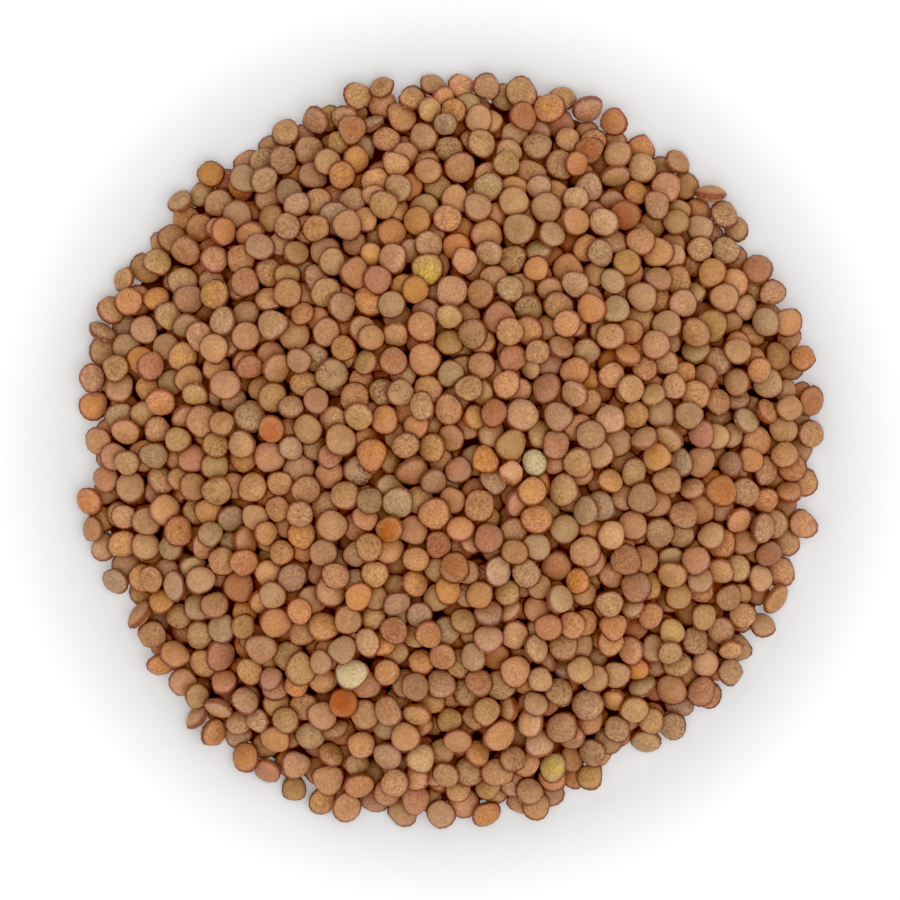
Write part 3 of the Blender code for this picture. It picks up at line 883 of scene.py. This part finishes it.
def bare_seed_leaves(kind):
    """Seed leaves of a lentil that has lost its coat: dense, smooth and waxy.

    To the eye it is a brighter salmon than any coat, with small painted glints, pale streaks, on its flat
    facets.
    """
    material, tree, shader = new_material("bare_salmon_seed_leaves")
    coat = read_coat(tree)
    relief = creases(tree, coat, shader)
    edge, glint = (
        add_node(tree, "MapRange", SOFT_STEP, {"Value": place, **step}).outputs["Result"]
        for place, step in ((coat.away, HULLED_EDGE_STEP), (relief, HULLED_PAINTED_GLINT_STEP))
    )
    edged = add_node(
        tree, "Mix", COLOURS_MULTIPLIED,
        {FACTOR: edge, COLOUR_A: patchy_coat(tree, coat, kind), COLOUR_B: paint("hulled_edge")},
    ).outputs[MIXED]
    # Painted highlight: pale glints where the relief is high
    glinted = add_node(
        tree, "Mix", COLOURS, {FACTOR: glint, COLOUR_A: edged, COLOUR_B: paint("hulled_glint")},
    ).outputs[MIXED]
    tree.links.new(glinted, shader.inputs["Base Color"])
    shader.inputs["Roughness"].default_value = HULLED_ROUGHNESS
    shader.inputs["Specular IOR Level"].default_value = HULLED_SHINE
    return material


# Core: its sides and rings, how far it lies under the poured lentils, the reach and thickness of its skirt,
# and how close two points are to be merged. Its patches of colour are as wide as a lentil
CORE_SIDES = 48
CORE_RINGS = 12
CORE_CLEARANCE = 0.3 * MM
SKIRT_RADIUS = 56.5 * MM
SKIRT_THICKNESS = 0.25 * MM
MERGE_DISTANCE = 0.001 * MM
CORE_PATCH = 4.8 * MM
CORE_ROUGHNESS = 0.8


def core_profile(sizes):
    """Half section of the core: the dome that the pour lies on, its thin skirt, and back along the table."""
    layer = 2 * sizes.lentil_radius * sizes.flatness
    rise = sizes.heap_height - layer
    fall = (POURED_DEPTH + CORE_CLEARANCE - layer + TABLE_GAP) / rise
    reach = sizes.heap_radius - SINGLE_LAYER_WIDTH
    radius = reach * (1 - fall) ** (1 / DOME_POWER)
    points = []
    for ring in range(CORE_RINGS + 1):
        out = radius * math.sin(0.5 * math.pi * ring / CORE_RINGS)
        top = layer + rise * (1 - (out / reach) ** DOME_POWER)
        points.append((out, 0.0, top - POURED_DEPTH - CORE_CLEARANCE))
    skirt = TABLE_GAP + SKIRT_THICKNESS
    points[-1] = (points[-1][0], 0.0, skirt)
    return [*points, (SKIRT_RADIUS, 0.0, skirt), (SKIRT_RADIUS, 0.0, TABLE_GAP), (0.0, 0.0, TABLE_GAP)]


def shaded_depth():
    """Lentils deep in the heap, in painted shade: hardly any light reaches them, so their colour is painted
    dark and brown.
    """
    material, tree, shader = new_material("lentils_in_the_shade")
    place = add_node(tree, "TexCoord", {}, {}).outputs["Object"]
    cells = add_node(tree, "TexVoronoi", {}, {"Vector": place, "Scale": 1 / CORE_PATCH})
    mixed = add_node(
        tree, "Mix", COLOURS,
        {FACTOR: cells.outputs["Distance"], COLOUR_A: paint("core_light"), COLOUR_B: paint("core_dark")},
    ).outputs[MIXED]
    tree.links.new(mixed, shader.inputs["Base Color"])
    shader.inputs["Roughness"].default_value = CORE_ROUGHNESS
    return material


class LENTILS_OT_core(bpy.types.Operator):
    """Make the low mound inside the heap, which stands for the lentils that don't show"""

    bl_idname = "lentils.core"
    bl_label = "Core"

    def execute(self, context):
        sizes = chosen_sizes()
        middle = footprint_middle(pour(sizes))
        mesh = bmesh.new()
        profile = [mesh.verts.new(point) for point in core_profile(sizes)]
        edges = [mesh.edges.new(pair) for pair in zip(profile, profile[1:])]
        bmesh.ops.spin(
            mesh, geom=profile + edges, axis=(0, 0, 1), cent=(0, 0, 0), angle=2 * math.pi,
            steps=CORE_SIDES, use_merge=True,
        )
        bmesh.ops.remove_doubles(mesh, verts=mesh.verts, dist=MERGE_DISTANCE)
        for vertex in mesh.verts:
            share = outline(sizes, math.atan2(vertex.co.y, vertex.co.x)) / sizes.heap_radius
            vertex.co.x = vertex.co.x * share - middle[0]
            vertex.co.y = vertex.co.y * share - middle[1]
        bmesh.ops.recalc_face_normals(mesh, faces=mesh.faces)
        data = bpy.data.meshes.new("heap_core")
        mesh.to_mesh(data)
        mesh.free()
        data.shade_smooth()
        put_in_heap(data, shaded_depth())
        return {"FINISHED"}


class LENTILS_OT_plain(bpy.types.Operator):
    """Make the lentils with plain seed coats, one piece for each kind"""

    bl_idname = "lentils.plain"
    bl_label = "Plain lentils"

    def execute(self, context):
        for kind in PLAIN_KINDS:
            make_lentils(kind, seed_coat(kind))
        return {"FINISHED"}


class LENTILS_OT_speckled(bpy.types.Operator):
    """Make the lentils whose coats are marbled with dark brown"""

    bl_idname = "lentils.speckled"
    bl_label = "Speckled lentils"

    def execute(self, context):
        make_lentils(SPECKLED_KIND, seed_coat(SPECKLED_KIND))
        return {"FINISHED"}


class LENTILS_OT_shrivelled(bpy.types.Operator):
    """Make the lentils whose coats have dried in folds"""

    bl_idname = "lentils.shrivelled"
    bl_label = "Shrivelled lentils"

    def execute(self, context):
        make_lentils(SHRIVELLED_KIND, seed_coat(SHRIVELLED_KIND))
        return {"FINISHED"}


class LENTILS_OT_odd(bpy.types.Operator):
    """Make the few unripe, pale lentils, the yellowed ones and the one that has lost its coat"""

    bl_idname = "lentils.odd"
    bl_label = "Odd lentils"

    def execute(self, context):
        for kind in (PALE_KIND, YELLOWED_KIND):
            make_lentils(kind, seed_coat(kind))
        make_lentils(HULLED_KIND, bare_seed_leaves(HULLED_KIND))
        return {"FINISHED"}


# Stage: the camera's height and the width that it sees at the table, the floor's width and finish, the light,
# and the brightness at which the picture turns black, as a share of white
CAMERA_HEIGHT = 0.8
VIEW_WIDTH = 145.9 * MM
FLOOR_WIDTH = 6.0
FLOOR_ROUGHNESS = 0.9
FLOOR_SHINE = 0.1
SKY_STRENGTH = 0.82
KEY_STRENGTH = 1.05
KEY_SPREAD = math.radians(60)
KEY_FROM = (0.2, -0.25, 1.0)
WHITE = (1.0, 1.0, 1.0, 1.0)
BLACK_POINT = 0.010
# By the distance from the heap's middle: where the board's painted shade under the heap's edge turns into the
# near one, where that turns into the far one, and where and from what strength the board's painted glow fades
UNDER_EDGE = {"From Min": 54 * MM, "From Max": 61 * MM}
SOFT_SHADE = {"From Min": 61 * MM, "From Max": 77 * MM, "To Min": 1.0, "To Max": 0.0}
FLOOR_GLOW = {"From Min": 55 * MM, "From Max": 62 * MM, "To Min": 0.25, "To Max": 0.0}


def make_floor():
    """Matt white board, wide enough to fill every view."""
    mesh = bmesh.new()
    bmesh.ops.create_grid(mesh, x_segments=1, y_segments=1, size=FLOOR_WIDTH / 2)
    data = bpy.data.meshes.new("floor")
    mesh.to_mesh(data)
    mesh.free()
    floor = put_in_scene(data)
    material, tree, shader = new_material("matt_white_board")
    place = add_node(tree, "TexCoord", {}, {}).outputs["Object"]
    away = add_node(tree, "VectorMath", {"operation": "LENGTH"}, {0: place}).outputs["Value"]
    soft, clear, glow = (
        add_node(tree, "MapRange", SOFT_STEP, {"Value": away, **reach}).outputs["Result"]
        for reach in (SOFT_SHADE, UNDER_EDGE, FLOOR_GLOW)
    )
    board = add_node(
        tree, "Mix", COLOURS,
        {FACTOR: soft, COLOUR_A: paint("floor"), COLOUR_B: paint("floor_near")},
    ).outputs[MIXED]
    # Painted shade: the board is darker under the heap's edge and softly round it
    shaded = add_node(
        tree, "Mix", COLOURS, {FACTOR: clear, COLOUR_A: paint("floor_under"), COLOUR_B: board},
    ).outputs[MIXED]
    tree.links.new(shaded, shader.inputs["Base Color"])
    # Painted light: the board glows a little under the heap's edge, lighting the gaps there
    tree.links.new(glow, shader.inputs["Emission Strength"])
    shader.inputs["Emission Color"].default_value = WHITE
    shader.inputs["Roughness"].default_value = FLOOR_ROUGHNESS
    shader.inputs["Specular IOR Level"].default_value = FLOOR_SHINE
    data.materials.append(material)


def make_light(context):
    """A white tent all round, and one wide soft light a little to the side."""
    world = bpy.data.worlds.new("white_tent")
    world.use_nodes = True
    background = world.node_tree.nodes["Background"]
    background.inputs["Color"].default_value = WHITE
    background.inputs["Strength"].default_value = SKY_STRENGTH
    context.scene.world = world
    light = bpy.data.lights.new("key_light", "SUN")
    light.energy = KEY_STRENGTH
    light.angle = KEY_SPREAD
    put_in_scene(light).rotation_euler = Vector(KEY_FROM).to_track_quat("Z", "Y").to_euler()


def make_camera(context):
    """The camera looks straight down, with the heap's far side at the top of the picture."""
    lens = bpy.data.cameras.new("camera")
    lens.lens = lens.sensor_width * CAMERA_HEIGHT / VIEW_WIDTH
    camera = put_in_scene(lens)
    camera.location = (0, 0, CAMERA_HEIGHT)
    context.scene.camera = camera
    context.scene.view_settings.view_transform = "Standard"
    context.scene.view_settings.use_curve_mapping = True
    context.scene.view_settings.curve_mapping.black_level = (BLACK_POINT,) * 3


class LENTILS_OT_stage(bpy.types.Operator):
    """Make the pale floor, the soft studio light and the camera that looks straight down"""

    bl_idname = "lentils.stage"
    bl_label = "Stage"

    def execute(self, context):
        make_floor()
        make_light(context)
        make_camera(context)
        return {"FINISHED"}


class LENTILS_PT_panel(bpy.types.Panel):
    """Sidebar panel with the heap's sizes, its colours and its pieces"""

    bl_idname = "LENTILS_PT_panel"
    bl_label = "Heap of dry lentils"
    bl_space_type = "VIEW_3D"
    bl_region_type = "UI"
    bl_category = "Lentils"

    def draw(self, context):
        for group in (context.scene.lentil_heap_sizes, context.scene.lentil_coat_colours):
            for field in group.__annotations__:
                self.layout.prop(group, field)
        for operator in OPERATORS:
            self.layout.operator(operator.bl_idname)


OPERATORS = (
    LENTILS_OT_core,
    LENTILS_OT_plain,
    LENTILS_OT_speckled,
    LENTILS_OT_shrivelled,
    LENTILS_OT_odd,
    LENTILS_OT_stage,
)
CLASSES = (LentilHeapSizes, LentilCoatColours, *OPERATORS, LENTILS_PT_panel)


def register():
    for made in CLASSES:
        bpy.utils.register_class(made)
    bpy.types.Scene.lentil_heap_sizes = bpy.props.PointerProperty(type=LentilHeapSizes)
    bpy.types.Scene.lentil_coat_colours = bpy.props.PointerProperty(type=LentilCoatColours)


def unregister():
    del bpy.types.Scene.lentil_coat_colours
    del bpy.types.Scene.lentil_heap_sizes
    for made in reversed(CLASSES):
        bpy.utils.unregister_class(made)


def main():
    register()
    bpy.ops.lentils.core()
    bpy.ops.lentils.plain()
    bpy.ops.lentils.speckled()
    bpy.ops.lentils.shrivelled()
    bpy.ops.lentils.odd()
    bpy.ops.lentils.stage()


if __name__ == "__main__":
    main()
